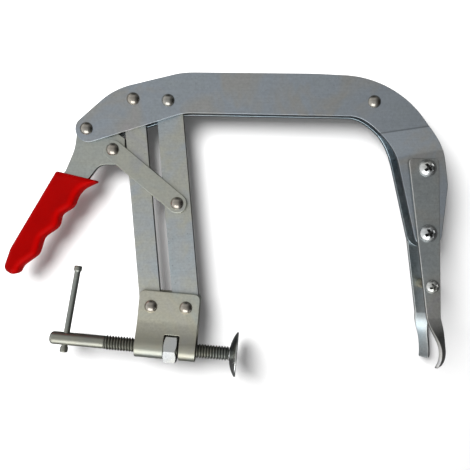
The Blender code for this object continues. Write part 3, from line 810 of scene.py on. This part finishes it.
def build_lever():
    corners = [(-99.0, 167.0, 2.0), (-112.0, 166.4, 6.0), (-114.6, 145.6, 35), (-120.9, 130.9, 0),
               (-150.6, 85.1, 1), (-146.5, 81.5, 1), (-118.5, 113.5, 0), (-104.5, 125.2, 0),
               (-97.3, 134.7, 9), (-83.0, 134.6, 4), (-79.0, 144.0, 3), (-79.2, 153.0, 1.2),
               (-85.5, 157.4, 2)]
    piece("lever_plate", slab(rounded(corners), -CORE_HALF, CORE_HALF), "lever", "handle",
          ["handle_plate"], flat=True)
    rivet("lever_link_rivet", LINK_PIVOT, CHEEK_OUT, "handle", "link_handle_rivet")
    grip()


def edge_distance(points, loop):
    """Distance from each point to the nearest side of a closed outline."""
    p = np.asarray(points, float)
    a = np.asarray(loop, float)
    b = np.roll(a, -1, axis=0)
    best = np.full(len(p), 1e9)
    for s, e in zip(a, b):
        way = e - s
        part = np.clip(((p - s) @ way) / max(1e-12, way @ way), 0, 1)
        best = np.minimum(best, np.hypot(*(p - s - part[:, None] * way).T))
    return best


def grip():
    """The dipped sleeve: a flat-sided pillow with finger waves along its lower edge."""
    corners = [(-127.3, 130.0, 1.5), (-159.6, 75.6, 20), (-164.6, 60.9, 5), (-155.3, 54.6, 5),
               (-152.1, 63.0, 9), (-140.8, 71.1, 8), (-137.1, 83.3, 8), (-126.2, 90.8, 8),
               (-124.6, 99.4, 6), (-115.6, 105.0, 8), (-111.4, 116.3, 16), (-97.6, 122.9, 0.8)]
    step = 0.8
    rough = turned_way(rounded(corners, longest=step))
    loop = []
    for a, b in zip(rough, rough[1:] + rough[:1]):
        count = max(1, round(math.dist(a, b) / step))
        loop += [(a[0] + (b[0] - a[0]) * k / count, a[1] + (b[1] - a[1]) * k / count)
                 for k in range(count)]
    points = list(loop)
    for k in range(1, 9):
        gap = GRIP_ROUND * (1 - math.cos(math.pi / 2 * k / 8)) * 0.98
        ring = [tuple(p) for p in inset(loop, gap)][::1 if k < 5 else 2]
        points += [q for q, d in zip(ring, edge_distance(ring, loop)) if d > gap * 0.93]
    low = np.min(loop, axis=0)
    high = np.max(loop, axis=0)
    columns, rows = (np.arange(low[k], high[k], 2 * step) for k in (0, 1))
    grid = [(x, y) for x in columns for y in rows]
    inside = [(x, y) for (x, y), d in zip(grid, edge_distance(grid, loop)) if d > GRIP_ROUND]
    points += inside
    count = len(loop)
    verts, _, faces, *_ = delaunay_2d_cdt([Vector(p) for p in points],
                                          [(k, (k + 1) % count) for k in range(count)],
                                          [list(range(count))], 1, 1e-5)
    depth = edge_distance([tuple(v) for v in verts], loop)
    depth[:count] = 0.0
    bm = bmesh.new()
    sheets = []
    for side in (1, -1):
        sheet = []
        for v, d in zip(verts, depth):
            left = GRIP_ROUND - min(d, GRIP_ROUND)
            fall = GRIP_ROUND - math.sqrt(max(0.0, GRIP_ROUND ** 2 - left ** 2))
            half = GRIP_HALF - fall * (GRIP_HALF - GRIP_RIM) / GRIP_ROUND
            sheet.append(bm.verts.new((v.x, v.y, side * half)))
        sheets.append(sheet)
        for face in faces:
            bm.faces.new([sheet[k] for k in (face if side > 0 else face[::-1])])
    for k in range(count):
        n = (k + 1) % count
        bm.faces.new((sheets[0][k], sheets[1][k], sheets[1][n], sheets[0][n]))
    bmesh.ops.recalc_face_normals(bm, faces=bm.faces)
    bm.normal_update()
    # The mask is the painted highlight on faces turned towards the grip's finger side.
    under = {v.co.to_tuple(4): max(0.0, v.normal.dot(GRIP_PAINTED_BRIGHT_SIDE)) for v in bm.verts}
    piece("dipped_grip", bm, "vinyl", "handle", ["handle_grip"], sharp=62,
          mask=lambda spot: min(1.0, 1.6 * under[spot.to_tuple(4)]))


def build_links_and_arms():
    for facing, side in (("front", 1), ("back", -1)):
        low, high = sorted((side * CHEEK_IN, side * CHEEK_OUT))
        piece(f"{facing}_link", slab(capsule(LINK_PIVOT, LINK_END, LINK_R), low, high), "lever", "links",
              [f"link_{facing}"], flat=True)
    rivet("link_arm_pin", LINK_END, CHEEK_OUT, "links", "link_arm_rivet", shank=2.0)
    aside = (-0.7, 0.0)
    left = capsule(add(ARM_TOP_LEFT, aside), add(ARM_END_LEFT, aside), ARM_LEFT_R)
    right = capsule(ARM_TOP_RIGHT, ARM_END_RIGHT, ARM_RIGHT_R)
    piece("left_arm", slab(left, -CORE_HALF, CORE_HALF), "arm", "arm_left",
          ["arm_left"], flat=True)
    piece("right_arm", slab(right, -CORE_HALF, CORE_HALF), "arm", "arm_right",
          ["arm_right"], flat=True)


# ---------------------------------------------------------------- bracket, screw and pad

def fold_line():
    """The bracket's middle line from its front top edge round to its back one: v, z and length."""
    line = [(BRACKET_TOP - k, FOLD_MID) for k in range(20)]
    line += [(FLARE_TOP - FLARE_RUN * k / 24,
              FOLD_MID + (FOLD_R - FOLD_MID) / 2 * (1 - math.cos(math.pi * k / 24))) for k in range(25)]
    line += [(FOLD_R * math.sin(a), FOLD_R * math.cos(a)) for a in (math.radians(-6 * k) for k in range(16))]
    line += [(v, -z) for v, z in reversed(line[:-1])]
    line = np.array(line)
    run = np.concatenate(([0.0], np.cumsum(np.hypot(*np.diff(line, axis=0).T))))
    return line, run


def box_outline(left, right, low, high, radius):
    return rounded([(left, low, radius), (right, low, radius), (right, high, radius), (left, high, radius)])


def build_bracket():
    """The bracket is cut flat, with the nut's window, then folded along its middle line."""
    line, run = fold_line()
    total = run[-1]
    middle = len(line) // 2
    front = float(np.interp(-WINDOW_DROP, -line[:middle, 0], run[:middle]))
    outline = box_outline(BRACKET_LEFT, BRACKET_RIGHT, 0, total, 4)
    window = box_outline(WINDOW_LEFT, WINDOW_RIGHT, front, total - front, 1)
    bm = slab(outline, -BRACKET_HALF, BRACKET_HALF, 0.35, [window])
    slice_across(bm, [Vector((0, s, 0)) for s in run[1:-1]], Vector((0, 1, 0)))
    way = np.gradient(line, run, axis=0)
    way /= np.hypot(*way.T)[:, None]
    for vert in bm.verts:
        s = vert.co.y
        v, z = np.interp(s, run, line[:, 0]), np.interp(s, run, line[:, 1])
        dv, dz = np.interp(s, run, way[:, 0]), np.interp(s, run, way[:, 1])
        size = math.hypot(dv, dz)
        vert.co.y, vert.co.z = v + vert.co.z * dz / size, z - vert.co.z * dv / size

    # Painted shade: a dark band is painted across the flare, where the sheet swells out round the screw.
    def painted_shade_at(spot):
        return 0.48 * math.exp(-((spot.y - 4.0) / 7.0) ** 2)

    piece("screw_bracket", bm, "bracket", "bracket", ["spindle_bracket"],
          tilt=SPINDLE_TILT, flat=True, mask=painted_shade_at)
    rivet("left_bracket_rivet", ARM_END_LEFT, 4.8, "bracket", "bracket_rivet_left")
    rivet("right_bracket_rivet", ARM_END_RIGHT, 4.8, "bracket", "bracket_rivet_right")
    nut = laid(hex_nut(NUT_FLAT, NUT_LEFT, NUT_RIGHT, THREAD_R + 0.15))
    piece("screw_nut", nut, "bright", "bracket", ["spindle_nut"], tilt=SPINDLE_TILT,
          sharp=25)


def thread_radius(u, angle):
    """Radius of the right-hand thread at a place along and round the screw.

    The thread is cut off by a cone at the nose, and fades into the smooth shank at its other end.
    """
    steep, root_flat, nose_run, nose_slope, fade = 1.35, 0.16, 1.2, 0.9, 1.6
    phase = (u / PITCH - angle / TAU) % 1.0
    height = min(1.0, max(0.0, (0.5 - abs(phase - 0.5)) * 2 * steep - root_flat))
    radius = ROOT_R + (THREAD_R - ROOT_R) * height
    lead = THREAD_START - u
    if lead < nose_run:
        radius = min(radius, ROOT_R + lead * nose_slope)
    tail = u - SHANK_START
    if tail < fade:
        ease = max(0.0, tail / fade)
        radius = SHANK_R * (1 - ease) + radius * ease
    return radius


def build_spindle():
    bm = bmesh.new()
    count = 64
    rings = [[bm.verts.new((-1.9, 0.0, 0.0))]]

    def ring(u, size):
        angles = [TAU * k / count for k in range(count)]
        rings.append([bm.verts.new((u, size(a) * math.cos(a), size(a) * math.sin(a))) for a in angles])

    for u, r in ((-1.9, 2.7), (-2.2, 3.0), (-5.99, 3.0), (-6.0, 3.8)):
        ring(u, lambda a, r=r: r)
    steps = round((THREAD_START - SHANK_START) / PITCH * 12)
    for k in range(1, steps + 1):
        u = THREAD_START + (SHANK_START - THREAD_START) * k / steps
        ring(u, lambda a, u=u: thread_radius(u, a))
    crown = [(-95.0, SHANK_R), (-120.0, SHANK_R), (-130.4, SHANK_R)]
    crown += [(SPINDLE_END + 2.4 * (1 - math.sin(a)), SHANK_R - 2.4 * (1 - math.cos(a)))
              for a in (math.radians(15 * k) for k in range(1, 6))]
    crown += [(SPINDLE_END, 1.6)]
    for u, r in crown:
        ring(u, lambda a, r=r: r)
    rings.append([bm.verts.new((SPINDLE_END, 0.0, 0.0))])
    skin(bm, rings)

    # Painted shade: the thread's roots are painted darker, the deeper the darker.
    def painted_shade_at(spot):
        deep = (THREAD_R - math.hypot(spot.y, spot.z)) / (THREAD_R - ROOT_R)
        return 0.75 * max(0.0, min(1.0, deep)) if SHANK_START < spot.x < THREAD_START else 0.0

    piece("screw", bm, "screw", "spindle", ["spindle"], tilt=SPINDLE_TILT, sharp=60,
          mask=painted_shade_at)


def build_tommy():
    up, down, knob_r, bar_r = 52.0, 9.5, 2.7, 2.05
    top = [(bar_r, up - 4.6), (bar_r + 0.15, up - 4.0), (knob_r - 0.1, up - 3.4), (knob_r, up - 2.9),
           (knob_r, up - 0.9), *arc((knob_r - 0.8, up - 0.8), 0.8, 0, 90, 5), (0.0, up)]
    low = [(r, -down + (up - h)) for r, h in reversed(top)]
    bm = lathe(low + top, 40)
    lean = Matrix.Rotation(TOMMY_LEAN, 4, "Y")
    stand = Matrix.Rotation(-math.pi / 2 - TOMMY_DROP, 4, "X")
    bmesh.ops.transform(bm, matrix=Matrix.Translation((TOMMY_AT, 0, 0)) @ stand @ lean, verts=bm.verts)
    piece("tommy_rod", bm, "screw", "tommy", ["tommy_bar"], tilt=SPINDLE_TILT, sharp=50)


def build_pad():
    """A lens-backed disk with a short neck, hollow where the screw's nose turns in it."""
    profile = [(0.0, -2.2), (3.2, -2.2), (3.2, -5.4), (3.5, -5.7), (4.6, -5.7), (5.0, -5.3), (5.4, -4.7),
               (6.2, -5.1), (7.3, -4.85), (8.8, -4.4), (10.3, -3.85), (11.6, -3.3), (12.7, -2.75),
               (13.6, -2.3), (14.4, -1.8), (15.2, -1.15), (15.45, -0.95), (PAD_R, -0.7), (15.4, -0.25),
               (15.1, 0.0), (14.6, 0.0), (0.0, 0.0)]
    piece("swivel_pad", laid(lathe(profile, 96)), "bright", "pad", ["pad"],
          tilt=SPINDLE_TILT, sharp=40)


LOOKS = make_looks()
camera()
floor()
studio()
build_frame()
build_lever()
build_links_and_arms()
build_bracket()
build_spindle()
build_tommy()
build_pad()
